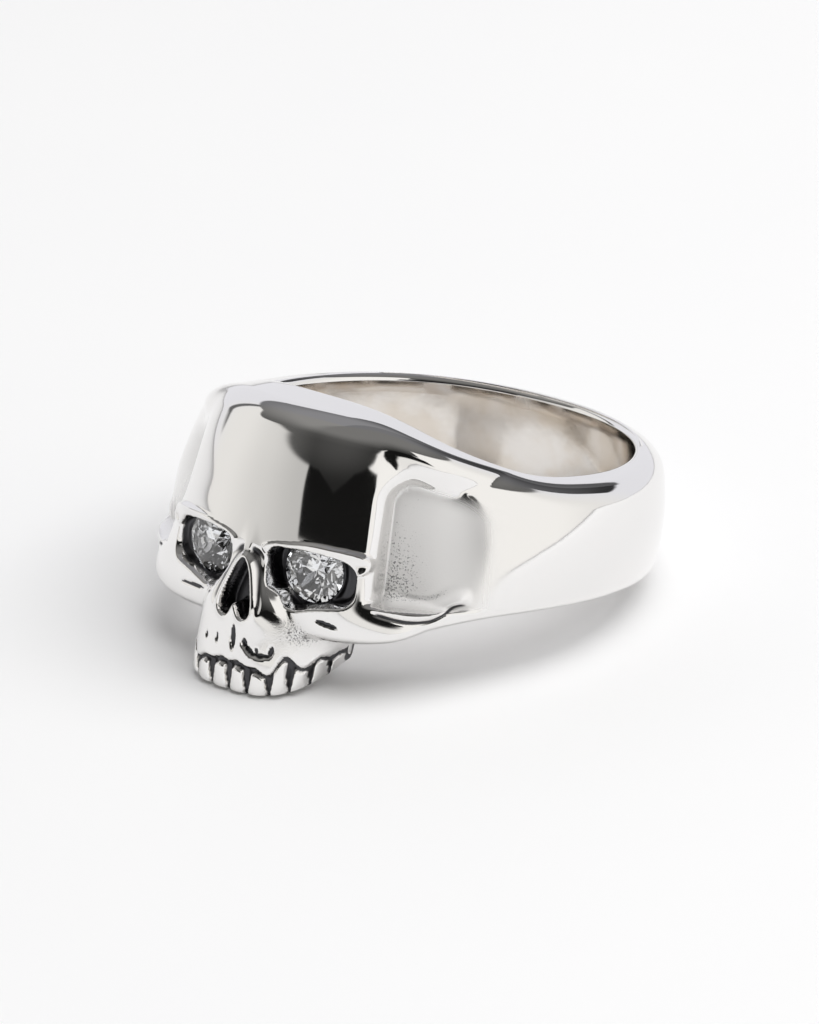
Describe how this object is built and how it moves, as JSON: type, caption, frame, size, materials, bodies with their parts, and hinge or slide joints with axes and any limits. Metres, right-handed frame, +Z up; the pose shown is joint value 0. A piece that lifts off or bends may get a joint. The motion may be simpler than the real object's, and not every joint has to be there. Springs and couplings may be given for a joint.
{
  "type": "skull ring",
  "caption": "Polished silver finger ring cast as a skull with a row of upper teeth, a faceted clear stone in each eye socket, hollow temples and a plain tapering band.",
  "frame": {"origin": "centre of the overall box at the surface that the ring lies on", "axes": "+Z up, the skull looks toward -Y and a little upward, +X is at the viewer's right when the skull is seen from in front"},
  "size_m": [0.0248, 0.0282, 0.0136],
  "materials": {
    "silver": "polished",
    "stone": "faceted and polished"
  },
  "bodies": {
    "root": {"skull_ring": "silver", "left_eye_stone": "stone", "right_eye_stone": "stone"}
  },
  "joints": []
}
